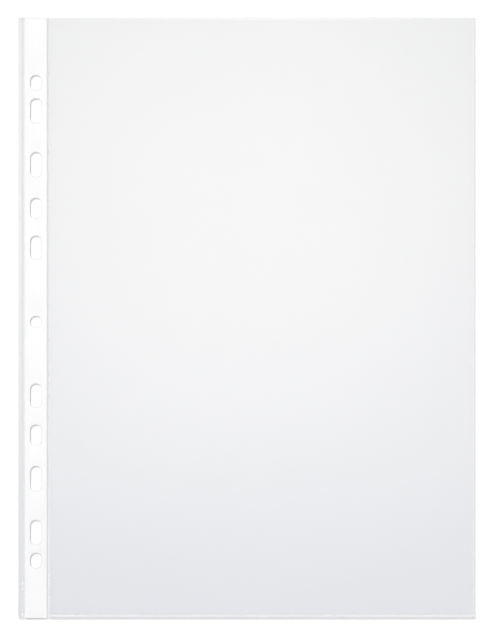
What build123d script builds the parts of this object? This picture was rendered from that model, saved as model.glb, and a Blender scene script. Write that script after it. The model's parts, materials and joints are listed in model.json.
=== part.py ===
from build123d import *
import os

# Sheet protector: a clear film pocket, open at the top, with a white punched binding strip.
# It lies flat on its back: X runs from the strip to the fold, Y up to the open mouth and Z up
# through the front film. The origin is the middle of the underside. Sizes are in millimetres.

# Driving dimensions: outline
overall_width = 230.5
overall_height = 303.0
corner_radius = 0.7

# Driving dimensions: thicknesses
film_thickness = 0.12
strip_thickness = 0.20
weld_thickness = 0.18

# Driving dimensions: bands across the pocket, from the strip's edge to the fold
outer_lip_width = 1.4
outer_trough_width = 1.35
outer_land_width = 0.4
strip_margin = 0.3
strip_width = 10.8
crease_margin = 0.15
inner_land_width = 0.2
inner_trough_width = 0.8
inner_shoulder_width = 0.5
fold_shoulder_width = 1.0
fold_crease_width = 0.4

# Driving dimensions: bands up the pocket, from its lower edge
bottom_lip_width = 0.8
bottom_trough_width = 1.2
bottom_shoulder_width = 0.3

# Driving dimensions: punching, a round hole with pairs of slots above and below it
hole_width = 5.7
hole_drop = 1.8
slot_steps = (37.3, 19.9, 22.0, 27.1, 14.2)
slot_runs = (6.3, 4.7, 6.9, 6.7, 1.9)

# Driving dimensions: knurl pressed into the front of the two long welds
trough_draft = 0.12
knurl_pitch = 3.3
knurl_length = 1.9
knurl_width = 0.5
knurl_depth = 0.06

# Driving dimensions: play around the pieces that move
crease_play = 0.05
leaf_play = 0.05

# Layers, from the back to the front
stack = 2 * film_thickness + strip_thickness
half_stack = stack / 2
half_weld = weld_thickness / 2
front_z = stack - film_thickness

# Places across the pocket
left = -overall_width / 2
right = overall_width / 2
outer_trough_x = left + outer_lip_width
outer_trough_end = outer_trough_x + outer_trough_width
spine_left = outer_trough_end + outer_land_width
strip_left = spine_left + strip_margin
strip_right = strip_left + strip_width
strip_middle = (strip_left + strip_right) / 2
crease_x = strip_right + crease_margin
spine_right = crease_x - crease_play / 2
inner_weld_left = crease_x + crease_play / 2
inner_trough_x = inner_weld_left + inner_land_width
inner_trough_end = inner_trough_x + inner_trough_width
panel_left = inner_trough_end + inner_shoulder_width
panel_right = right - fold_crease_width - fold_shoulder_width
panel_width = panel_right - panel_left
panel_middle_x = (panel_left + panel_right) / 2

# Places up the pocket
bottom = -overall_height / 2
top = overall_height / 2
hole_y = -hole_drop
bottom_trough_y = bottom + bottom_lip_width
bottom_trough_end = bottom_trough_y + bottom_trough_width
panel_bottom = bottom_trough_end + bottom_shoulder_width
panel_height = top - panel_bottom
panel_middle_y = (panel_bottom + top) / 2

# Planes at half the pocket's thickness, where the two films meet
middle_layer = Plane.XY.offset(half_stack)
across_section = Plane(origin=(0, 0, half_stack), x_dir=(1, 0, 0), z_dir=(0, -1, 0))
up_section = Plane(origin=(panel_left, 0, half_stack), x_dir=(0, 1, 0), z_dir=(1, 0, 0))


def punch_holes():
    """Punch the round hole and the pairs of slots through the piece that is open."""
    with BuildSketch(Plane.XY) as row:
        with Locations((strip_middle, hole_y)):
            Circle(hole_width / 2)
        reach = 0
        for step, run in zip(slot_steps, slot_runs):
            reach += step
            with Locations((strip_middle, hole_y + reach), (strip_middle, hole_y - reach)):
                SlotCenterToCenter(run, hole_width, rotation=90)
    extrude(row.sketch, amount=stack, mode=Mode.SUBTRACT)


def press_knurl(trough_middle):
    """Press a row of dashes into the front of the long weld that is open."""
    dashes = int((overall_height - 2 * corner_radius) / knurl_pitch)
    with BuildSketch(Plane((trough_middle, 0, half_stack + half_weld))) as row:
        with GridLocations(knurl_pitch, knurl_pitch, 1, dashes):
            Rectangle(knurl_width, knurl_length)
    extrude(row.sketch, amount=-knurl_depth, mode=Mode.SUBTRACT)


def round_corners():
    """Trim the piece that is open to the pocket's outline, with its rounded corners."""
    with BuildSketch(Plane.XY) as outline:
        RectangleRounded(overall_width, overall_height, corner_radius)
    extrude(outline.sketch, amount=stack, mode=Mode.INTERSECT)


# White reinforcing strip, between the two films
with BuildPart() as binding_strip:
    with BuildSketch(Plane.XY.offset(film_thickness)):
        with Locations((strip_middle, 0)):
            Rectangle(strip_width, overall_height)
    extrude(amount=strip_thickness)
    punch_holes()

# Film behind the strip, turned up along both of the strip's edges to meet the front film
with BuildPart() as rear_spine_film:
    with BuildSketch(across_section):
        with BuildLine():
            Polyline(
                (spine_left, 0),
                (strip_left, film_thickness - half_stack),
                (strip_right, film_thickness - half_stack),
                (spine_right, 0),
                (spine_right, -film_thickness),
                (strip_right, -half_stack),
                (strip_left, -half_stack),
                (spine_left, -film_thickness),
                close=True,
            )
        make_face()
    extrude(amount=overall_height / 2, both=True)
    punch_holes()

# Film over the front of the strip, turned down in the same way
with BuildPart() as front_spine_film:
    mirror(rear_spine_film.part, about=middle_layer)

# Outer weld: a lip of doubled film, a knurled trough and a land where the films part round the strip
with BuildPart() as outer_weld:
    with BuildSketch(across_section):
        with BuildLine():
            Polyline(
                (left, 0),
                (left, film_thickness),
                (outer_trough_x, film_thickness),
                (outer_trough_x + trough_draft, half_weld),
                (outer_trough_end - trough_draft, half_weld),
                (outer_trough_end, film_thickness),
                (spine_left, film_thickness),
                (spine_left, 0),
                close=True,
            )
        make_face()
        mirror(about=Plane.XZ)
    extrude(amount=overall_height / 2, both=True)
    press_knurl((outer_trough_x + outer_trough_end) / 2)
    round_corners()

# Inner weld: a land beside the crease, a knurled trough and a shoulder that opens into the pocket
with BuildPart() as inner_weld:
    with BuildSketch(across_section):
        with BuildLine():
            Polyline(
                (inner_weld_left, 0),
                (inner_weld_left, film_thickness),
                (inner_trough_x, film_thickness),
                (inner_trough_x + trough_draft, half_weld),
                (inner_trough_end, half_weld),
                (panel_left, half_stack),
                (panel_left, 0),
                close=True,
            )
        make_face()
        mirror(about=Plane.XZ)
    extrude(amount=overall_height / 2, both=True)
    press_knurl((inner_trough_x + trough_draft + inner_trough_end) / 2)

# Bottom weld: a lip of doubled film, a smooth trough and a shoulder that opens into the pocket
with BuildPart() as bottom_weld:
    with BuildSketch(up_section):
        with BuildLine():
            Polyline(
                (bottom, 0),
                (bottom, film_thickness),
                (bottom_trough_y, film_thickness),
                (bottom_trough_y + trough_draft, half_weld),
                (bottom_trough_end, half_weld),
                (panel_bottom, half_stack),
                (panel_bottom, 0),
                close=True,
            )
        make_face()
        mirror(about=Plane.XZ)
    extrude(amount=right - panel_left)
    round_corners()

# Side fold: the film pressed flat on itself, with a shoulder to the pocket and a round crease
with BuildPart() as side_fold:
    with BuildSketch(across_section.offset(-top)):
        with BuildLine():
            crease_start = (right - film_thickness, film_thickness)
            crease_end = (right, 0)
            Polyline(
                crease_end,
                (panel_right, 0),
                (panel_right, half_stack),
                (right - fold_crease_width, film_thickness),
                crease_start,
            )
            TangentArc(crease_start, crease_end, tangent=(1, 0))
        make_face()
        mirror(about=Plane.XZ)
    extrude(amount=panel_height)
    round_corners()

# Rear panel of the pocket
with BuildPart() as rear_panel:
    with BuildSketch(Plane.XY):
        with Locations((panel_middle_x, panel_middle_y)):
            Rectangle(panel_width, panel_height)
    extrude(amount=film_thickness)

# Front panel, which lifts from the bottom weld to open the mouth
with BuildPart() as front_panel:
    with BuildSketch(Plane.XY.offset(front_z)):
        with Locations((panel_middle_x, panel_middle_y + leaf_play / 2)):
            Rectangle(panel_width - 2 * leaf_play, panel_height - leaf_play)
    extrude(amount=film_thickness)

# Finished pieces
pieces = {
    "binding_strip": binding_strip,
    "rear_spine_film": rear_spine_film,
    "front_spine_film": front_spine_film,
    "outer_weld": outer_weld,
    "inner_weld": inner_weld,
    "bottom_weld": bottom_weld,
    "side_fold": side_fold,
    "rear_panel": rear_panel,
    "front_panel": front_panel,
}
os.makedirs("parts", exist_ok=True)
for name, piece in pieces.items():
    piece.part.label = name
    export_step(piece.part, f"parts/{name}.step")
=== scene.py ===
"""Looks of a clear sheet protector: films, tape, welds and fold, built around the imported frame."""

import json
import logging
import math
import random
from collections.abc import Callable, Sequence
from dataclasses import dataclass
from enum import Enum

import bmesh
import bpy
import numpy as np
from mathutils import Matrix, Vector


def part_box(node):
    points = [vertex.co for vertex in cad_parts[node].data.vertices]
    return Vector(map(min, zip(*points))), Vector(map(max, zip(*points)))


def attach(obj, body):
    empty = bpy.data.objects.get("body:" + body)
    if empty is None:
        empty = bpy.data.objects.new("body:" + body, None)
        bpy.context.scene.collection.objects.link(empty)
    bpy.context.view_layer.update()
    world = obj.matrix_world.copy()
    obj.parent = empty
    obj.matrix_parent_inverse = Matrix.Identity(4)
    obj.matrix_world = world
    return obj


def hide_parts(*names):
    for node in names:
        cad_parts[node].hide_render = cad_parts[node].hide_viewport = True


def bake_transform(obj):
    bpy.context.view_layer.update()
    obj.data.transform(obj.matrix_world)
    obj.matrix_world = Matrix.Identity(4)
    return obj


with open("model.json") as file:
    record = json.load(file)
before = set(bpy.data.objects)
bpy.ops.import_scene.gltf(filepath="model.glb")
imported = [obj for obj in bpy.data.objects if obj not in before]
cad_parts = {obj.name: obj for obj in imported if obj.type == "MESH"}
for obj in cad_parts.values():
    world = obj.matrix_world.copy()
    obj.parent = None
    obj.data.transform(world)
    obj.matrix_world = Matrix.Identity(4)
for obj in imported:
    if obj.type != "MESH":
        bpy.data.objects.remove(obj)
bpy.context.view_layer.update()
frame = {"record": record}

MM = 0.001

# A joint's face lies this near to its line, and this square to it
JOINT_REACH = 0.000002
UPRIGHT = 0.99

ACROSS = Vector((1.0, 0.0, 0.0))
UP = Vector((0.0, 1.0, 0.0))
Colour = tuple[float, float, float, float]
Pair = tuple[float, float]
Triple = tuple[float, float, float]
Vert = bmesh.types.BMVert
Edge = bmesh.types.BMEdge
Material = bpy.types.Material
Piece = bpy.types.Object
log = logging.getLogger("sheet_protector")


class Body(Enum):
    """Bodies that the pieces move with."""

    BINDING_EDGE = "binding_edge"
    POCKET = "pocket"
    FRONT_LEAF = "front_leaf"


class Slot(Enum):
    """Material slots of the record."""

    FILM = "clear_film"
    TAPE = "white_strip"
    WELD = "weld"


class Face(Enum):
    """Faces of the tape."""

    FRONT = "front"
    REAR = "rear"


# Sizes

@dataclass(frozen=True)
class Hole:
    """A punched hole: its middle, the radius of its ends and the straight run between them along Y."""

    x: float
    y: float
    radius: float
    run: float


@dataclass(frozen=True)
class PocketSizes:
    """Places and thicknesses of the pocket in metres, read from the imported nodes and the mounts."""

    left: float
    right: float
    bottom: float
    top: float
    tape_left: float
    tape_right: float
    spine_left: float
    inner_weld_left: float
    panel_left: float
    panel_right: float
    panel_bottom: float
    film: float
    stack: float
    holes: tuple[Hole, ...]

    @classmethod
    def from_frame(cls) -> "PocketSizes":
        """Read the sizes from the frame's boxes.

        Returns:
            The sizes of this pocket.
        """
        outer_low, outer_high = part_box("outer_weld")
        tape_low, tape_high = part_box("binding_strip")
        inner_low, inner_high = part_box("inner_weld")
        bottom_low, bottom_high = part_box("bottom_weld")
        fold_low, fold_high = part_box("side_fold")
        rear_low, rear_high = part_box("rear_panel")
        return cls(
            left=outer_low.x, right=fold_high.x, bottom=bottom_low.y, top=outer_high.y,
            tape_left=tape_low.x, tape_right=tape_high.x, spine_left=outer_high.x,
            inner_weld_left=inner_low.x, panel_left=inner_high.x, panel_right=fold_low.x,
            panel_bottom=bottom_high.y, film=rear_high.z - rear_low.z, stack=inner_high.z,
            holes=punched_holes(frame["record"]["mounts"]),
        )

    @property
    def panel_size(self) -> Pair:
        """Width and length that the pocket's films were cut to."""
        return self.panel_right - self.panel_left, self.top - self.panel_bottom

    @property
    def middle_height(self) -> float:
        """Height at which the front and rear films meet."""
        return self.stack / 2

    def is_joint(self, face: bmesh.types.BMFace) -> bool:
        """Tell whether a face stands where one piece of film runs on into the next.

        Args:
            face: A face of a closed mesh.

        Returns:
            True for a face along one of the lines that divide the films.
        """
        middle = face.calc_center_median()
        if abs(face.normal.x) > UPRIGHT:
            lines = (self.spine_left, self.inner_weld_left, self.panel_left, self.panel_right)
            return any(abs(middle.x - line) < JOINT_REACH for line in lines)
        return abs(face.normal.y) > UPRIGHT and abs(middle.y - self.panel_bottom) < JOINT_REACH


def punched_holes(mounts: Sequence[dict]) -> tuple[Hole, ...]:
    """List the holes that the record's mounts describe.

    Args:
        mounts: The record's mounts, in which a bore is one round hole and a pattern is a pair of slots.

    Returns:
        The holes from the lowest to the highest.
    """
    holes = []
    for mount in mounts:
        dims = mount["dims"]
        x, y, _ = mount["pos_m"]
        if mount["kind"] == "bore":
            holes.append(Hole(x, y, dims["r_mm"] * MM, 0.0))
        elif mount["kind"] == "bolt_pattern":
            radius = dims["hole_r_mm"] * MM
            run = dims["slot_length_mm"] * MM - 2 * radius
            reach = dims["spacing_y_mm"] * MM / 2
            holes += [Hole(x, y - reach, radius, run), Hole(x, y + reach, radius, run)]
    return tuple(sorted(holes, key=lambda hole: hole.y))


def smooth_step(value: float, low: float, high: float) -> float:
    """Rise smoothly from 0 at low to 1 at high."""
    share = min(max((value - low) / (high - low), 0.0), 1.0)
    return share * share * (3 - 2 * share)


# Shader maths

class Socket:
    """An output socket of a node tree. Arithmetic on it adds Math nodes."""

    def __init__(self, tree: "NodeTree", socket: bpy.types.NodeSocket) -> None:
        """Keep the socket and the tree that it belongs to."""
        self.tree = tree
        self.socket = socket

    def maths(self, operation: str, first: "Value", second: "Value") -> "Socket":
        """Add a Math node on two values."""
        return self.tree.output("Math", {0: first, 1: second}, {"operation": operation})

    def __add__(self, other: "Value") -> "Socket":
        """Add a value."""
        return self.maths("ADD", self, other)

    __radd__ = __add__

    def __sub__(self, other: "Value") -> "Socket":
        """Take a value away."""
        return self.maths("SUBTRACT", self, other)

    def __rsub__(self, other: "Value") -> "Socket":
        """Take this value away from another."""
        return self.maths("SUBTRACT", other, self)

    def __mul__(self, other: "Value") -> "Socket":
        """Multiply by a value."""
        return self.maths("MULTIPLY", self, other)

    __rmul__ = __mul__

    def __truediv__(self, other: "Value") -> "Socket":
        """Divide by a value."""
        return self.maths("DIVIDE", self, other)

    def __pow__(self, exponent: float) -> "Socket":
        """Raise to a power."""
        return self.maths("POWER", self, exponent)

    def at_most(self, limit: "Value") -> "Socket":
        """Keep the lesser of this and a limit."""
        return self.maths("MINIMUM", self, limit)

    def at_least(self, limit: "Value") -> "Socket":
        """Keep the greater of this and a limit."""
        return self.maths("MAXIMUM", self, limit)

    def rise(self, low: float, high: float) -> "Socket":
        """Rise smoothly from 0 where this is low to 1 where it is high."""
        inputs = {"Value": self, "From Min": low, "From Max": high}
        return self.tree.output("MapRange", inputs, {"interpolation_type": "SMOOTHSTEP"})


Value = Socket | float


class NodeTree:
    """The node tree of a material or the world, which gets every node through one method."""

    def __init__(self, owner: Material | bpy.types.World) -> None:
        """Empty the owner's node tree.

        Args:
            owner: The material or the world.
        """
        owner.use_nodes = True
        self.tree = owner.node_tree
        self.tree.nodes.clear()

    def node(
        self, kind: str, inputs: dict | None = None, settings: dict | None = None
    ) -> bpy.types.Node:
        """Add a node.

        Args:
            kind: The node's type, after the ShaderNode that every type begins with.
            inputs: Values or links of its sockets, by name or number.
            settings: Properties of the node, which are set first.

        Returns:
            The new node.
        """
        node = self.tree.nodes.new(f"ShaderNode{kind}")
        for name, setting in (settings or {}).items():
            setattr(node, name, setting)
        for key, value in (inputs or {}).items():
            if isinstance(value, Socket):
                self.tree.links.new(value.socket, node.inputs[key])
            else:
                node.inputs[key].default_value = value
        return node

    def output(
        self, kind: str, inputs: dict | None = None, settings: dict | None = None, output: str | int = 0
    ) -> Socket:
        """Add a node and wrap one of its outputs."""
        return Socket(self, self.node(kind, inputs, settings).outputs[output])

    def attribute(self, name: str) -> Socket:
        """Read one of the mesh's own values."""
        return self.output("Attribute", None, {"attribute_name": name}, "Fac")

    def noise(self, place: Socket, scale: float, detail: float) -> Socket:
        """Add a flat noise pattern, from 0 to 1."""
        inputs = {"Vector": place, "Scale": scale, "Detail": detail}
        return self.output("TexNoise", inputs, {"noise_dimensions": "2D"})

    def mixed(self, share: Value, first: Socket, second: Socket) -> Socket:
        """Mix two shaders."""
        return self.output("MixShader", {0: share, 1: first, 2: second})

    def blended(self, share: Socket, first: Socket | Colour, second: Socket | Colour) -> Socket:
        """Mix two colours."""
        inputs = {"Factor": share, 6: first, 7: second}
        return self.output("Mix", inputs, {"data_type": "RGBA"}, 2)


# Finishes

class Finish:
    """The look of a piece, which becomes a material."""

    MADE: dict[str, Material] = {}
    name: str

    def material(self) -> Material:
        """Make the material once, for every piece that has this finish.

        Returns:
            The material.
        """
        if self.name not in self.MADE:
            material = bpy.data.materials.new(self.name)
            tree = NodeTree(material)
            tree.node("OutputMaterial", {"Surface": self.shader(tree)})
            self.MADE[self.name] = material
        return self.MADE[self.name]

    def shader(self, tree: NodeTree) -> Socket:
        """Add the nodes of the look, which each finish does in its own way."""
        raise NotImplementedError


@dataclass(frozen=True)
class FilmFinish(Finish):
    """Clear film: what lies behind it shows through, under a gloss that the film's fine grain softens.

    Slanting faces and cut edges get painted shade for the light that they bend away, and a cloudy haze
    makes the film faintly milky. The welds' and the fold's lips, the part-pressed dashes and the holes'
    rims get painted shade as well, and the welds' troughs a darker tone that partly stands in for shade.
    The knurled troughs of the welds are matt. Nothing shows where one piece of film runs on into the
    next. A range gives the values between which an effect rises from none to full.
    """

    name: str
    tint: Colour = (0.9914, 0.9918, 0.9926, 1.0)
    milk: Colour = (0.86, 0.88, 0.91, 1.0)
    # edge is the dark grey in which shade is painted onto the films
    edge: Colour = (0.40, 0.42, 0.45, 1.0)
    haze: float = 0.012
    # Amounts of painted shade: on slanting faces, cut edges, lips (more towards the lower end), troughs,
    # dash spots and hole rims
    slant_shade: float = 0.55
    edge_shade: float = 0.0
    lip_shade: float = 0.0
    low_lip_shade: float = 0.0
    trough_shade: float = 0.0
    spot_shade: float = 0.0
    trough_matt: float = 0.9
    crease_clear: bool = False
    rim_shade: float = 0.0
    gloss_share: float = 0.040
    gloss_roughness: float = 0.30
    edge_on_power: float = 5.0
    grain_scale: float = 1400.0
    grain_depth: float = 0.000002
    grain_strength: float = 0.6
    cloud_scale: float = 16.0
    cloud_least: float = 0.7
    cloud_change: float = 0.6
    milk_roughness: float = 0.45
    most_cover: float = 0.9
    edge_range: Pair = (0.9, 0.98)
    high_range: Pair = (-0.16, 0.06)
    pressed_range: Pair = (0.1, 0.7)
    spot_range: Pair = (0.05, 0.35)
    spot_middle_range: Pair = (0.5, 0.8)

    def shader(self, tree: NodeTree) -> Socket:
        """Add the nodes of the film.

        Args:
            tree: The material's node tree.

        Returns:
            The film's shader.
        """
        place = tree.output("TexCoord", output="Object")
        facing = tree.output("LayerWeight", output="Facing")
        gloss_share = self.gloss_share + (1 - self.gloss_share) * facing ** self.edge_on_power
        if self.trough_shade:
            gloss_share = gloss_share * (1 - self.trough_matt * tree.attribute("trough"))
        grain = tree.output("Bump", {
            "Strength": self.grain_strength, "Distance": self.grain_depth,
            "Height": tree.noise(place, self.grain_scale, 0.0)})
        clear = tree.output("BsdfTransparent", {"Color": self.tint})
        gloss = tree.output("BsdfAnisotropic", {"Roughness": self.gloss_roughness, "Normal": grain})
        cover, colour = self.cover(tree, place)
        milky = tree.output("BsdfPrincipled", {"Base Color": colour, "Roughness": self.milk_roughness})
        film = tree.mixed(cover, tree.mixed(gloss_share, clear, gloss), milky)
        return tree.mixed(tree.attribute("joint"), film, tree.output("BsdfTransparent"))

    def cover(self, tree: NodeTree, place: Socket) -> tuple[Socket, Socket]:
        """Work out how much the film hides of what lies behind it, and in which colour: a faint milky
        haze, and painted shade in the dark edge colour.

        Args:
            tree: The material's node tree.
            place: The piece's own coordinates.

        Returns:
            The covering share and its colour.
        """
        # Painted shade on slanting faces, and more on nearly upright cut edges, for the light that the
        # film bends away
        steep = tree.attribute("slant")
        slant = self.slant_shade * steep
        if self.edge_shade:
            slant = slant + self.edge_shade * steep.rise(*self.edge_range)
        # Painted shade along the welds and the fold: darker lips, more so towards the lower end; the
        # troughs get a darker tone of their own that partly stands in for shade; both are left off where
        # a dash is pressed
        if self.lip_shade or self.trough_shade:
            lip, trough = tree.attribute("lip"), tree.attribute("trough")
            height = tree.output("SeparateXYZ", {"Vector": place}, output="Y")
            low = 1 - height.rise(*self.high_range)
            shade = (self.lip_shade + self.low_lip_shade * low) * lip + self.trough_shade * trough
            imprint = tree.attribute("imprint")
            slant = slant + shade * (1 - imprint.rise(*self.pressed_range))
            # Painted shade: dark spots where a dash is pressed only part way, standing in for the shaded
            # walls of the dents
            if self.spot_shade:
                spot = imprint.rise(*self.spot_range) * (1 - imprint.rise(*self.spot_middle_range))
                slant = slant + self.spot_shade * spot
        if self.crease_clear:
            slant = slant * (1 - tree.attribute("crease"))
        # Painted shade: a dark outline on the inner part of each hole's rolled rim
        if self.rim_shade:
            slant = slant + self.rim_shade * tree.attribute("rim")
        clouds = tree.noise(place, self.cloud_scale, 1.0)
        cover = self.haze * (self.cloud_least + self.cloud_change * clouds) + slant
        return cover.at_most(self.most_cover), tree.blended(slant / cover, self.milk, self.edge)


@dataclass(frozen=True)
class TapeFinish(Finish):
    """White plastic tape with a fine matt grain and faint drawn streaks along its length.

    Along its inner side it is pressed so thin that some light comes through.
    """

    name: str = "white_tape"
    white: Colour = (0.93, 0.93, 0.93, 1.0)
    shade: Colour = (0.90, 0.90, 0.905, 1.0)
    shade_range: Pair = (0.35, 0.75)
    roughness: float = 0.42
    roughness_change: float = 0.1
    noise_detail: float = 3.0
    cloud_scale: float = 60.0
    grain_scale: float = 2200.0
    grain_depth: float = 0.000003
    grain_strength: float = 0.5
    streak_depth: float = 0.6
    streak_stretch: Triple = (900.0, 9.0, 1.0)
    thin_range: Pair = (0.0, 0.5)

    def shader(self, tree: NodeTree) -> Socket:
        """Add the nodes of the tape.

        Args:
            tree: The material's node tree.

        Returns:
            The tape's shader.
        """
        place = tree.output("TexCoord", output="Object")
        stretched = tree.output("Mapping", {"Vector": place, "Scale": self.streak_stretch})
        streaks = tree.noise(stretched, 1.0, self.noise_detail)
        clouds = tree.noise(place, self.cloud_scale, self.noise_detail)
        uneven = (streaks + clouds) / 2
        colour = tree.blended(uneven.rise(*self.shade_range), self.white, self.shade)
        bumps = tree.noise(place, self.grain_scale, self.noise_detail) + self.streak_depth * streaks
        grain = tree.output("Bump", {
            "Strength": self.grain_strength, "Distance": self.grain_depth, "Height": bumps})
        roughness = self.roughness + self.roughness_change * (clouds - 0.5)
        plastic = tree.output(
            "BsdfPrincipled", {"Base Color": colour, "Roughness": roughness, "Normal": grain})
        shadow = tree.output("LightPath", output="Is Shadow Ray")
        through = tree.attribute("crease").rise(*self.thin_range) * shadow
        return tree.mixed(through, plastic, tree.output("BsdfTransparent"))


def seen_directly(tree: NodeTree) -> Socket:
    """Tell rays from the camera, reflections and clear pieces from other light.

    Args:
        tree: The node tree that asks.

    Returns:
        1 for those rays and 0 for other light.
    """
    path = tree.node("LightPath")
    camera, glossy, through = (
        Socket(tree, path.outputs[name])
        for name in ("Is Camera Ray", "Is Glossy Ray", "Is Transmission Ray"))
    return camera.at_least(glossy).at_least(through)


@dataclass(frozen=True)
class FloorFinish(Finish):
    """Plain white floor, which shows white to the camera and keeps the shadows that fall on it."""

    name: str = "pale_floor"
    white: Colour = (0.94, 0.94, 0.94, 1.0)
    whitened: float = 0.35

    def shader(self, tree: NodeTree) -> Socket:
        """Add the nodes of the floor.

        Args:
            tree: The material's node tree.

        Returns:
            The floor's shader.
        """
        lit = tree.output("BsdfDiffuse", {"Color": self.white})
        white = tree.output("Emission", {"Strength": 1.0})
        return tree.mixed(seen_directly(tree) * self.whitened, lit, white)


# The shade amounts below paint shade in the dark edge colour: on slanting faces and cut edges, round the
# holes' rims, and along the welds' and the fold's lips, troughs and dashes
CLEAR_FILM = FilmFinish("clear_film")
BONDED_FILM = FilmFinish(
    "bonded_film", tint=(0.997, 0.997, 0.997, 1.0), haze=0.004, slant_shade=0.9, gloss_share=0.02,
    crease_clear=True, rim_shade=0.25)
WELDED_FILM = FilmFinish(
    "welded_film", tint=(0.974, 0.975, 0.978, 1.0), slant_shade=0.25, edge_shade=0.4, lip_shade=0.02,
    low_lip_shade=0.05, trough_shade=0.10)
CREASED_FILM = FilmFinish(
    "creased_film", tint=(0.992, 0.9925, 0.994, 1.0), slant_shade=0.2, trough_shade=0.10,
    spot_shade=0.12)
SEAMED_FILM = FilmFinish(
    "seamed_film", tint=(0.976, 0.977, 0.980, 1.0), slant_shade=0.20, edge_shade=0.35, lip_shade=0.14,
    trough_shade=0.06)
FOLDED_FILM = FilmFinish(
    "folded_film", tint=(0.979, 0.980, 0.983, 1.0), slant_shade=0.35, edge_shade=0.1, lip_shade=0.08)


# Making pieces

class Workpiece:
    """A mesh on the bench, which becomes a finished piece."""

    SHARP_ANGLE = math.radians(12)
    MERGE_DISTANCE = 1e-8

    def __init__(self, sizes: PocketSizes) -> None:
        """Start with an empty mesh."""
        self.sizes = sizes
        self.bm = bmesh.new()

    def grid(self, columns: int, rows: int, place: Callable[[Vert, int, int], None]) -> None:
        """Add a grid and put each of its points in place.

        Args:
            columns: Number of faces across.
            rows: Number of faces along.
            place: Moves a point, by its column and row.
        """
        made = bmesh.ops.create_grid(self.bm, x_segments=columns, y_segments=rows, size=1.0)
        for vert in made["verts"]:
            column = round((vert.co.x + 1) / 2 * columns)
            row = round((vert.co.y + 1) / 2 * rows)
            place(vert, column, row)

    def thicken(self, depth: float) -> None:
        """Draw the whole sheet straight down, which closes it.

        Args:
            depth: How far the lower face lies under the upper one.
        """
        made = bmesh.ops.extrude_face_region(self.bm, geom=self.bm.faces[:])
        moved = [part for part in made["geom"] if isinstance(part, Vert)]
        bmesh.ops.translate(self.bm, verts=moved, vec=(0.0, 0.0, -depth))

    def finish(self, name: str, finish: Finish) -> Piece:
        """Close the mesh, turn its faces outwards and make it an object.

        Args:
            name: The piece's name.
            finish: Its finish.

        Returns:
            The piece.
        """
        bm = self.bm
        bmesh.ops.remove_doubles(bm, verts=bm.verts[:], dist=self.MERGE_DISTANCE)
        bmesh.ops.recalc_face_normals(bm, faces=bm.faces[:])
        joint = bm.faces.layers.float.new("joint")
        slant = bm.faces.layers.float.new("slant")
        for face in bm.faces:
            face.smooth = True
            face[joint] = self.sizes.is_joint(face)
            face[slant] = 1 - face.normal.z ** 2
        for edge in bm.edges:
            edge.smooth = edge.calc_face_angle(math.pi) < self.SHARP_ANGLE
        mesh = bpy.data.meshes.new(name)
        bm.to_mesh(mesh)
        bm.free()
        mesh.materials.append(finish.material())
        piece = bpy.data.objects.new(name, mesh)
        bpy.context.scene.collection.objects.link(piece)
        return piece


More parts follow.
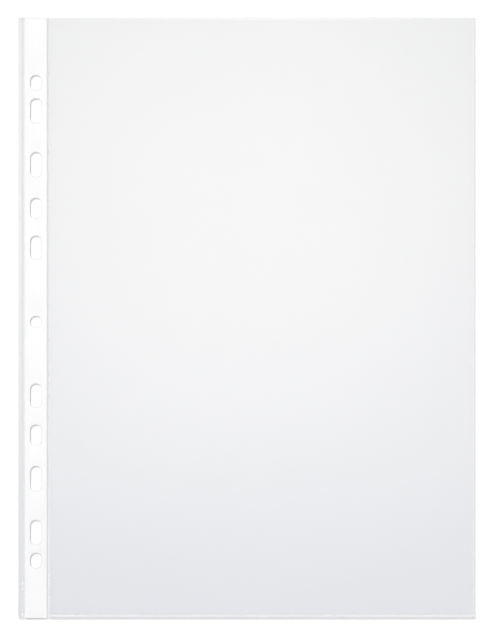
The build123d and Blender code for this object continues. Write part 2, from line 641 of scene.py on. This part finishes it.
class PunchedSheet(Workpiece):
    """A flat sheet with every hole punched through it and the rim of each hole rolled in."""

    SEGMENTS = 48
    ROLL_STEPS = 3

    def __init__(
        self, sizes: PocketSizes, left: float, right: float, height: float, roll: float, drop: float
    ) -> None:
        """Fill the sheet round its holes, one stretch for each hole.

        Args:
            sizes: The pocket's sizes.
            left: Left side of the flat sheet.
            right: Right side of the flat sheet.
            height: Height of its upper face.
            roll: Width of the rolled rim of a hole.
            drop: How far the rim is drawn down.
        """
        super().__init__(sizes)
        self.left, self.right, self.height = left, right, height
        self.crease = self.bm.verts.layers.float.new("crease")
        rim_shade_mask = self.bm.verts.layers.float.new("rim")
        ends = [[self.bm.verts.new((x, y, height)) for x in (left, right)] for y in self.stretch_ends()]
        lines = [self.bm.edges.new(pair) for pair in ends]
        for i, hole in enumerate(sizes.holes):
            sides = [self.bm.edges.new(pair) for pair in zip(ends[i], ends[i + 1])]
            rim = self.hole_rim(hole, hole.radius + roll, height)
            edges = lines[i:i + 2] + sides + rim
            bmesh.ops.triangle_fill(self.bm, use_beauty=True, edges=edges, normal=(0.0, 0.0, 1.0))
            for step in range(1, self.ROLL_STEPS + 1):
                angle = math.pi / 2 * step / self.ROLL_STEPS
                radius = hole.radius + roll * (1 - math.sin(angle))
                level = height - drop * (1 - math.cos(angle))
                rim = self.draw_on(rim, lambda point: self.on_rim(hole, point, radius, level))
                # Mark the inner part of each rolled rim, where the bonded film gets a painted dark
                # outline (painted shade)
                for vert in (vert for edge in rim for vert in edge.verts):
                    vert[rim_shade_mask] = float(step > 1)

    def stretch_ends(self) -> list[float]:
        """List where the stretches of the sheet end, half way between neighbouring holes.

        Returns:
            The Y of each end, from the bottom to the top.
        """
        holes = self.sizes.holes
        between = [
            (low.y + low.run / 2 + high.y - high.run / 2) / 2 for low, high in zip(holes, holes[1:])]
        return [self.sizes.bottom, *between, self.sizes.top]

    def hole_rim(self, hole: Hole, radius: float, height: float) -> list[Edge]:
        """Add a hole's outline: a circle whose halves are pulled apart along Y.

        Args:
            hole: The hole.
            radius: Radius of the outline's ends.
            height: Its height.

        Returns:
            The outline's edges.
        """
        verts = bmesh.ops.create_circle(
            self.bm, cap_ends=False, segments=self.SEGMENTS, radius=radius,
            matrix=Matrix.Rotation(math.pi / self.SEGMENTS, 4, "Z"))["verts"]
        for vert in verts:
            vert.co += Vector((hole.x, hole.y + math.copysign(hole.run / 2, vert.co.y), height))
        return list({edge for vert in verts for edge in vert.link_edges})

    def on_rim(self, hole: Hole, point: Vector, radius: float, height: float) -> Vector:
        """Give the place beside a point of a hole's outline, at another radius and height.

        Args:
            hole: The hole.
            point: A point of its outline.
            radius: The other radius of the hole's ends.
            height: The other height.

        Returns:
            The place.
        """
        end = Vector((hole.x, hole.y + math.copysign(hole.run / 2, point.y - hole.y), height))
        outwards = Vector((point.x - end.x, point.y - end.y, 0.0)).normalized()
        return end + radius * outwards

    def draw_on(self, edges: list[Edge], place: Callable[[Vector], Vector]) -> list[Edge]:
        """Draw a new strip of sheet from some of its edges.

        Args:
            edges: The edges.
            place: Gives the new place of each of their points.

        Returns:
            The strip's far edges.
        """
        made = bmesh.ops.extrude_edge_only(self.bm, edges=edges)["geom"]
        for vert in (part for part in made if isinstance(part, Vert)):
            vert.co = place(vert.co)
        return [part for part in made if isinstance(part, Edge)]

    def draw_side(self, side: float, steps: Sequence[Pair]) -> None:
        """Draw the sheet on from one of its long sides.

        Args:
            side: The side's X.
            steps: The X and height of each new line, from the side outwards.
        """
        edges = [
            edge for edge in self.bm.edges
            if edge.is_boundary
            and all(abs(vert.co.x - side) < self.MERGE_DISTANCE for vert in edge.verts)]
        for x, height in steps:
            edges = self.draw_on(edges, lambda point: Vector((x, point.y, height)))
            for vert in (vert for edge in edges for vert in edge.verts):
                vert[self.crease] = 1.0

    def thicken(self, depth: float) -> None:
        """Draw the sheet down to a lower face that is flat between its sides, under the rims too.

        Args:
            depth: The sheet's thickness.
        """
        super().thicken(depth)
        for vert in self.bm.verts:
            if vert.co.z < self.height - depth and self.left <= vert.co.x <= self.right:
                vert.co.z = self.height - depth

    def lean_end(self, lean: float) -> None:
        """Lean the cut across the lower end, so that the upper face ends short of the lower one.

        Args:
            lean: How far the upper face ends short.
        """
        for vert in self.bm.verts:
            on_top = abs(vert.co.z - self.height) < self.MERGE_DISTANCE
            if on_top and vert.co.y < self.sizes.bottom + lean / 2:
                vert.co.y += lean


@dataclass(frozen=True)
class Imprint:
    """One dash of a knurl: its middle along the weld, half its length, its shift and its strength."""

    middle: float
    half_length: float
    shift: float
    strength: float


@dataclass(frozen=True)
class Knurl:
    """A row of dashes pressed into a weld, no two alike, fewer and fainter away from its start."""

    pitch: float = 0.0026
    length: float = 0.0017
    width: float = 0.0005
    depth: float = 0.00006
    slope: float = 0.00012
    shift: float = 0.00010
    least_length: float = 0.35
    least_strength: float = 0.15
    far_strength: float = 1.0
    far_share: float = 1.0
    fade_start: float = 0.05
    fade_end: float = 0.30
    seed: int = 7

    def imprints(self, length: float) -> list[Imprint]:
        """Draw the dashes of a weld.

        Args:
            length: Length of the weld.

        Returns:
            The dashes, in order along the weld.
        """
        draw = random.Random(self.seed)
        count = int(length / self.pitch)
        start = (length - (count - 1) * self.pitch) / 2
        imprints = []
        for i in range(count):
            middle = start + i * self.pitch
            fade = smooth_step(middle / length, self.fade_start, self.fade_end)
            if self.far_share < 1.0 and draw.random() < (1 - self.far_share) * fade:
                continue
            imprints.append(Imprint(
                middle=middle,
                half_length=self.length / 2 * draw.uniform(self.least_length, 1.0),
                shift=draw.uniform(-self.shift, self.shift),
                strength=draw.uniform(self.least_strength, 1.0) * (1 - (1 - self.far_strength) * fade)))
        return imprints

    def share(self, imprint: Imprint, side: float, along: float) -> float:
        """Give the share of the full depth that a dash has at a point.

        Args:
            imprint: The dash.
            side: Distance of the point to the side of the knurl's middle line.
            along: Distance of the point along the weld.

        Returns:
            The share, from 0 to 1.
        """
        half = self.width / 2
        sideways = smooth_step(abs(side - imprint.shift), half, half + self.slope)
        end = imprint.half_length
        lengthways = smooth_step(abs(along - imprint.middle), end, end + self.slope)
        return imprint.strength * (1 - sideways) * (1 - lengthways)


@dataclass
class Band:
    """A long band of welded or folded film, drawn along its length from one section.

    The section gives half the thickness at each distance from the band's free edge. The band is the same
    above and below its middle height, apart from the knurl, which is pressed into its upper face.
    """

    sizes: PocketSizes
    corner: Pair
    across: Vector
    along: Vector
    length: float
    section: Sequence[Pair]
    knurl: Knurl | None = None
    knurl_middle: float = 0.0
    rounded_start: bool = False
    rounded_end: bool = False
    corner_radius: float = 0.0007
    corner_rows: int = 7
    plain_rows: int = 60
    knurl_columns: int = 13
    slope_rows: tuple[float, ...] = (0.0, 0.5, 1.0)
    step_share: float = 0.2

    def build(self, name: str, finish: Finish) -> Piece:
        """Make the band, with its lip, its trough and its dashes kept as attributes.

        Args:
            name: The piece's name.
            finish: Its finish.

        Returns:
            The band.
        """
        columns, rows = self.columns(), self.rows()
        loop = [(x, 1) for x in columns] + [(x, -1) for x in reversed(columns)] + [(columns[0], 1)]
        nearest = self.nearest_imprints(rows)
        work = Workpiece(self.sizes)
        lip = work.bm.verts.layers.float.new("lip")
        trough = work.bm.verts.layers.float.new("trough")
        imprint = work.bm.verts.layers.float.new("imprint")
        film = self.sizes.film
        step = film * self.step_share

        def place(vert: Vert, column: int, row: int) -> None:
            """Put a point of the band in place and note where in the section it lies.

            Args:
                vert: The point.
                column: Its number round the section.
                row: Its number along the band.
            """
            x, side = loop[column]
            half = self.half_height(x)
            depth = 0.0
            if self.knurl:
                vert[imprint] = self.knurl.share(nearest[row], x - self.knurl_middle, rows[row])
                depth = vert[imprint] * self.knurl.depth if side > 0 else 0.0
            vert[trough] = smooth_step(film - half, 0.0, step)
            vert[lip] = 1 - vert[trough] - smooth_step(half - film, 0.0, step)
            inset = self.corner_inset(rows[row])
            reach = inset + x * (1 - inset / columns[-1])
            vert.co = Vector((*self.corner, 0.0)) + self.across * reach + self.along * rows[row]
            vert.co.z = self.sizes.middle_height + side * half - depth

        work.grid(len(loop) - 1, len(rows) - 1, place)
        bmesh.ops.remove_doubles(work.bm, verts=work.bm.verts[:], dist=work.MERGE_DISTANCE)
        ends = [edge for edge in work.bm.edges if edge.is_boundary]
        bmesh.ops.holes_fill(work.bm, edges=ends, sides=0)
        return work.finish(name, finish)

    def half_height(self, x: float) -> float:
        """Give half the band's thickness at a distance from its free edge."""
        places, halves = zip(*self.section)
        return float(np.interp(x, places, halves))

    def columns(self) -> list[float]:
        """List the distances from the free edge at which the section has points.

        Returns:
            The distances, in order.
        """
        columns = {point[0] for point in self.section}
        if self.knurl:
            reach = self.knurl.width / 2 + self.knurl.slope + self.knurl.shift
            low, high = self.knurl_middle - reach, self.knurl_middle + reach
            columns |= set(np.linspace(low, high, self.knurl_columns))
        return sorted(columns)

    def rows(self) -> list[float]:
        """List the distances along the band at which it has a section.

        Returns:
            The distances, in order.
        """
        rows = {0.0, self.length}
        if self.knurl:
            for dash in self.knurl.imprints(self.length):
                for share in self.slope_rows:
                    reach = dash.half_length + self.knurl.slope * share
                    rows |= {dash.middle - reach, dash.middle + reach}
        else:
            rows |= {self.length * i / self.plain_rows for i in range(self.plain_rows)}
        for step in range(1, self.corner_rows + 1):
            reach = self.corner_radius * (1 - math.cos(math.pi / 2 * step / self.corner_rows))
            rows |= {reach} if self.rounded_start else set()
            rows |= {self.length - reach} if self.rounded_end else set()
        return sorted(rows)

    def nearest_imprints(self, rows: Sequence[float]) -> list[Imprint]:
        """Find the dash nearest to each row.

        Args:
            rows: Distances along the band.

        Returns:
            One dash for each row, or none for a plain band.
        """
        if not self.knurl:
            return []
        imprints = self.knurl.imprints(self.length)
        return [min(imprints, key=lambda dash: abs(dash.middle - row)) for row in rows]

    def corner_inset(self, y: float) -> float:
        """Give how far a rounded corner draws the free edge in.

        Args:
            y: Distance along the band.

        Returns:
            The distance from the straight edge.
        """
        gaps = [y] * self.rounded_start + [self.length - y] * self.rounded_end
        reach = self.corner_radius - min(gaps, default=self.corner_radius)
        if reach <= 0:
            return 0.0
        return self.corner_radius - math.sqrt(max(self.corner_radius ** 2 - reach ** 2, 0.0))


@dataclass
class FilmLeaf:
    """One film of the pocket: a thin sheet that swells a little and stands off at the mouth."""

    sizes: PocketSizes
    height: float
    swell: float = 0.0
    mouth_lift: float = 0.0
    columns: int = 96
    rows: int = 136
    swell_full: float = 0.25
    mouth_start: float = 0.72
    ripples: tuple[Pair, ...] = ((7.3, 3.1), (-2.9, 9.7))

    def build(self, name: str, finish: Finish) -> Piece:
        """Make the film.

        Args:
            name: The piece's name.
            finish: Its finish.

        Returns:
            The film.
        """
        work = Workpiece(self.sizes)
        work.grid(self.columns, self.rows, self.place)
        work.thicken(self.sizes.film)
        return work.finish(name, finish)

    def place(self, vert: Vert, column: int, row: int) -> None:
        """Put a point of the film's upper face in place.

        Args:
            vert: The point.
            column: Its number across the film.
            row: Its number up the film.
        """
        sizes = self.sizes
        across, up = column / self.columns, row / self.rows
        belly = math.sin(math.pi * across)
        waves = [math.sin(sideways * across + upwards * up) for sideways, upwards in self.ripples]
        ripple = (1 + sum(waves) / len(waves)) / 2
        rise = self.swell * belly * smooth_step(up, 0.0, self.swell_full) * ripple
        rise += self.mouth_lift * belly * smooth_step(up, self.mouth_start, 1.0)
        width, length = sizes.panel_size
        vert.co = (
            sizes.panel_left + across * width, sizes.panel_bottom + up * length, self.height + rise)


def dress(piece: Piece, slot: Slot, node: str, body: Body | None = None) -> None:
    """Attach the piece to the body that it rides on, hide the node that it stands for and log it.

    Args:
        piece: The finished piece.
        slot: Its material slot, which is not used.
        node: The node.
        body: The body, or none for a piece that stays unattached.
    """
    if body is not None:
        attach(piece, body.value)
    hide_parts(node)
    log.info("%s stands for %s, %d faces", piece.name, node, len(piece.data.polygons))


# Sub-assemblies

@dataclass
class BindingEdge:
    """The punched edge: white tape between two films, shut in by the outer weld."""

    sizes: PocketSizes
    bond: float = 0.000006
    roll: float = 0.00025
    drop: float = 0.00011
    crease_steps: int = 8
    tape_margin: float = 0.0016
    tape_reach: float = 0.0001
    tape_lean: float = 0.0002
    lip_width: float = 0.0014
    trough_width: float = 0.00135
    trough_draft: float = 0.00012
    weld_thickness: float = 0.00018
    knurl: Knurl = Knurl(far_strength=0.12, fade_start=0.0, fade_end=0.12)

    def build(self) -> None:
        """Make the tape, its two films and the outer weld."""
        self.tape()
        for face in Face:
            self.spine_film(face)
        self.outer_weld()

    @property
    def crease_start(self) -> float:
        """Where the tape ends, pressed out to just short of the crease."""
        return self.sizes.tape_right + self.tape_reach

    def tape(self) -> None:
        """Make the white tape."""
        sizes = self.sizes
        top = sizes.stack - sizes.film - self.bond
        inside = self.crease_start - self.tape_margin
        sheet = PunchedSheet(sizes, sizes.tape_left, inside, top, self.roll, self.bond)
        sheet.draw_side(inside, [(self.crease_start, top)])
        sheet.thicken(sizes.stack - 2 * sizes.film - 2 * self.bond)
        sheet.lean_end(self.tape_lean)
        piece = sheet.finish("punched_tape", TapeFinish())
        dress(piece, Slot.TAPE, "binding_strip", Body.BINDING_EDGE)

    def spine_film(self, face: Face) -> None:
        """Make the film over one face of the tape, which runs on across the crease to the inner weld.

        Args:
            face: The face of the tape.
        """
        sizes = self.sizes
        met = sizes.middle_height + sizes.film - self.bond
        sheet = PunchedSheet(
            sizes, sizes.tape_left, self.crease_start, sizes.stack, self.roll, self.drop)
        sheet.draw_side(
            sizes.tape_left, [(sizes.tape_left - self.bond, sizes.stack), (sizes.spine_left, met)])
        reach = sizes.inner_weld_left - self.crease_start
        slope = [(step + 1) / self.crease_steps for step in range(self.crease_steps)]
        sheet.draw_side(self.crease_start, [
            (self.crease_start + reach * share, sizes.stack + (met - sizes.stack) * share)
            for share in slope])
        sheet.thicken(sizes.film - self.bond)
        if face is Face.REAR:
            for vert in sheet.bm.verts:
                vert.co.z = sizes.stack - vert.co.z
        piece = sheet.finish(f"{face.value}_cover_film", BONDED_FILM)
        self.crease_start
        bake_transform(piece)
        dress(piece, Slot.FILM, f"{face.value}_spine_film")

    def outer_weld(self) -> None:
        """Make the weld at the outer edge, with its lip and knurled trough."""
        sizes, half = self.sizes, self.weld_thickness / 2
        trough_end = self.lip_width + self.trough_width
        band = Band(
            sizes, (sizes.left, sizes.bottom), ACROSS, UP, length=sizes.top - sizes.bottom,
            section=[
                (0.0, sizes.film), (self.lip_width, sizes.film),
                (self.lip_width + self.trough_draft, half), (trough_end - self.trough_draft, half),
                (trough_end, sizes.film), (sizes.spine_left - sizes.left, sizes.film)],
            knurl=self.knurl, knurl_middle=self.lip_width + self.trough_width / 2,
            rounded_start=True, rounded_end=True)
        piece = band.build("outer_weld_band", WELDED_FILM)
        dress(piece, Slot.WELD, "outer_weld", Body.BINDING_EDGE)


@dataclass
class Pocket:
    """The pocket behind the front film: rear film, inner weld, bottom weld and side fold."""

    sizes: PocketSizes
    land_width: float = 0.0003
    trough_width: float = 0.0008
    trough_draft: float = 0.00012
    weld_thickness: float = 0.00018
    bottom_lip: float = 0.0008
    bottom_trough: float = 0.0012
    fold_crease: float = 0.0004
    fold_round: float = 0.0003
    fold_arc_steps: int = 5
    knurl: Knurl = Knurl(
        pitch=0.0022, length=0.0013, width=0.0005, slope=0.00015, shift=0.00022, least_strength=0.7,
        far_strength=0.6, far_share=0.3, fade_start=0.08, fade_end=0.3, seed=11)
    bottom_knurl: Knurl = Knurl(
        pitch=0.0065, length=0.0058, width=0.0004, shift=0.00004, least_length=0.7, least_strength=0.3,
        far_strength=0.5, fade_start=0.0, fade_end=0.1, seed=5)

    def build(self) -> None:
        """Make the rear film, the two welds and the fold."""
        self.rear_film()
        self.inner_weld()
        self.bottom_weld()
        self.side_fold()

    def rear_film(self) -> None:
        """Make the film at the back, which lies flat."""
        piece = FilmLeaf(self.sizes, self.sizes.film).build("rear_film", CLEAR_FILM)
        dress(piece, Slot.FILM, "rear_panel", Body.POCKET)
        self.sizes.panel_size

    def trough(self, lip: float, trough: float, width: float) -> list[Pair]:
        """List the section of a weld that opens into the pocket.

        Args:
            lip: Width of the plain film outside the trough.
            trough: Width of the trough.
            width: Width of the whole weld.

        Returns:
            Distance from the free edge and half thickness at each point.
        """
        half = self.weld_thickness / 2
        return [
            (0.0, self.sizes.film), (lip, self.sizes.film), (lip + self.trough_draft, half),
            (lip + trough, half), (width, self.sizes.middle_height)]

    def inner_weld(self) -> None:
        """Make the weld between the tape and the pocket."""
        sizes = self.sizes
        band = Band(
            sizes, (sizes.inner_weld_left, sizes.bottom), ACROSS, UP,
            length=sizes.top - sizes.bottom,
            section=self.trough(
                self.land_width, self.trough_width, sizes.panel_left - sizes.inner_weld_left),
            knurl=self.knurl,
            knurl_middle=self.land_width + (self.trough_draft + self.trough_width) / 2)
        piece = band.build("inner_weld_band", CREASED_FILM)
        dress(piece, Slot.WELD, "inner_weld", Body.POCKET)

    def bottom_weld(self) -> None:
        """Make the cross weld along the lower edge."""
        sizes = self.sizes
        band = Band(
            sizes, (sizes.panel_left, sizes.bottom), UP, ACROSS,
            length=sizes.right - sizes.panel_left,
            section=self.trough(self.bottom_lip, self.bottom_trough, sizes.panel_bottom - sizes.bottom),
            knurl=self.bottom_knurl,
            knurl_middle=self.bottom_lip + (self.trough_draft + self.bottom_trough) / 2,
            rounded_end=True)
        piece = band.build("bottom_weld_band", SEAMED_FILM)
        dress(piece, Slot.WELD, "bottom_weld", Body.POCKET)

    def side_fold(self) -> None:
        """Make the pressed fold that joins the two films."""
        sizes = self.sizes
        angles = [math.pi / 2 * step / self.fold_arc_steps for step in range(self.fold_arc_steps + 1)]
        arc = [
            (self.fold_round * (1 - math.cos(angle)), sizes.film * math.sin(angle)) for angle in angles]
        band = Band(
            sizes, (sizes.right, sizes.panel_bottom), -ACROSS, UP,
            length=sizes.top - sizes.panel_bottom,
            section=arc + [
                (self.fold_crease, sizes.film), (sizes.right - sizes.panel_right, sizes.middle_height)],
            rounded_end=True)
        piece = band.build("folded_edge", FOLDED_FILM)
        dress(piece, Slot.FILM, "side_fold", Body.POCKET)


@dataclass
class FrontLeaf:
    """The front film, held along three sides, whose mouth bows open."""

    sizes: PocketSizes
    swell: float = 0.00025
    mouth_lift: float = 0.0002
    bow_start: float = 0.1

    def build(self) -> None:
        """Make the front film and work out how far each of its points follows the opened mouth."""
        sizes = self.sizes
        leaf = FilmLeaf(sizes, sizes.stack, self.swell, self.mouth_lift)
        piece = leaf.build("front_film", CLEAR_FILM)
        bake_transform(piece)
        shares = [self.bow(vert.co) for vert in piece.data.vertices]
        sizes.panel_size
        dress(piece, Slot.FILM, "front_panel")

    def bow(self, point: Vector) -> float:
        """Give how far a point follows the opened mouth.

        Args:
            point: A point of the film.

        Returns:
            0 at the welds and the fold, up to 1 in the middle of the mouth.
        """
        sizes = self.sizes
        width, length = sizes.panel_size
        across = (point.x - sizes.panel_left) / width
        up = (point.y - sizes.panel_bottom) / length
        belly = max(math.sin(math.pi * min(max(across, 0.0), 1.0)), 0.0)
        return belly * smooth_step(up, self.bow_start, 1.0)


# Studio

@dataclass
class Studio:
    """The floor, the light and the camera straight above the pocket.

    The pixel fields say where the pocket's outline lies in the picture.
    """

    sizes: PocketSizes
    picture_width: int = 495
    picture_height: int = 640
    left_pixel: float = 18.5
    right_pixel: float = 475.2
    top_pixel: float = 17.75
    bottom_pixel: float = 618.3
    camera_height: float = 1.0
    sensor: float = 36.0
    floor_size: float = 6.0
    floor_drop: float = 0.00004
    world_light: float = 0.30
    key_place: Triple = (-2.34, 3.6, 2.0)
    key_spread: float = math.radians(9)
    key_strength: float = 5.22
    box_place: Triple = (0.0, 0.11, 1.45)
    box_size: float = 0.68
    box_power: float = 3.55
    box_colour: Triple = (1.0, 0.95, 0.87)
    seen_white: Colour = (1.0, 1.0, 1.0, 1.0)
    mirrored_sky: Colour = (0.70, 0.78, 0.92, 1.0)
    mirrored_dusk: Colour = (0.49, 0.65, 1.34, 1.0)
    mirrored_corners: Colour = (0.01, 0.09, 0.60, 1.0)
    mirrored_walls: Colour = (0.55, 0.57, 0.60, 1.0)
    sky_range: Pair = (-0.24, -0.01)
    corner_range: Pair = (0.001, 0.018)
    ceiling_range: Pair = (0.3, 0.95)

    def build(self) -> None:
        """Set up the floor, the lamps, the world and the camera."""
        bpy.context.scene.view_settings.view_transform = "Standard"
        self.floor()
        self.world()
        key = bpy.data.lights.new("key", "SUN")
        key.angle, key.energy = self.key_spread, self.key_strength
        self.hang(key, self.key_place).visible_glossy = False
        box = bpy.data.lights.new("soft_box", "AREA")
        box.shape, box.size = "SQUARE", self.box_size
        box.energy, box.color = self.box_power, self.box_colour
        self.hang(box, self.box_place)
        self.camera()

    def floor(self) -> None:
        """Lay the floor just under the pocket."""
        work = Workpiece(self.sizes)
        middle = Matrix.Translation((0.0, 0.0, -self.floor_drop))
        half = self.floor_size / 2
        bmesh.ops.create_grid(work.bm, x_segments=1, y_segments=1, size=half, matrix=middle)
        work.finish("floor", FloorFinish())

    def world(self) -> None:
        """Give an even soft light that is seen as white.

        What the gloss mirrors is a pale sky, cooler below and dim in the lower corners, over dim walls.
        """
        world = bpy.data.worlds.new("studio")
        bpy.context.scene.world = world
        tree = NodeTree(world)
        strength = self.world_light + (1 - self.world_light) * seen_directly(tree)
        mirrored = tree.output("LightPath", output="Is Glossy Ray")
        direction = tree.output("TexCoord", output="Generated")
        sideways, ahead, upwards = (
            tree.output("SeparateXYZ", {"Vector": direction}, output=axis) for axis in "XYZ")
        corners = (sideways * sideways).rise(*self.corner_range)
        dusk = tree.blended(corners, self.mirrored_dusk, self.mirrored_corners)
        sky = tree.blended(ahead.rise(*self.sky_range), dusk, self.mirrored_sky)
        room = tree.blended(upwards.rise(*self.ceiling_range), self.mirrored_walls, sky)
        colour = tree.blended(mirrored, self.seen_white, room)
        light = tree.output("Background", {"Color": colour, "Strength": strength})
        tree.node("OutputWorld", {"Surface": light})

    def hang(self, light: bpy.types.Light, place: Sequence[float]) -> Piece:
        """Hang a lamp so that it faces the pocket.

        Args:
            light: The lamp's light.
            place: Where it hangs.

        Returns:
            The lamp.
        """
        lamp = bpy.data.objects.new(light.name, light)
        lamp.location = place
        lamp.rotation_euler = (-Vector(place)).to_track_quat("-Z", "Y").to_euler()
        bpy.context.scene.collection.objects.link(lamp)
        return lamp

    def camera(self) -> None:
        """Hang the camera straight above, so that the pocket fills the picture as in the photograph."""
        sizes = self.sizes
        pixel = (sizes.top - sizes.bottom) / (self.bottom_pixel - self.top_pixel)
        middle_x = (self.picture_width - self.left_pixel - self.right_pixel) / 2 * pixel
        middle_y = (self.top_pixel + self.bottom_pixel - self.picture_height) / 2 * pixel
        data = bpy.data.cameras.new("camera")
        data.sensor_width = self.sensor
        data.lens = self.sensor * self.camera_height / (self.picture_height * pixel)
        camera = bpy.data.objects.new("camera", data)
        camera.location = (middle_x, middle_y, self.camera_height)
        bpy.context.scene.collection.objects.link(camera)
        bpy.context.scene.camera = camera


def main() -> None:
    """Build the pocket's sub-assemblies and the studio."""
    logging.basicConfig(level=logging.INFO, format="%(name)s: %(message)s")
    sizes = PocketSizes.from_frame()
    BindingEdge(sizes).build()
    Pocket(sizes).build()
    FrontLeaf(sizes).build()
    Studio(sizes).build()


if __name__ == "__main__":
    main()
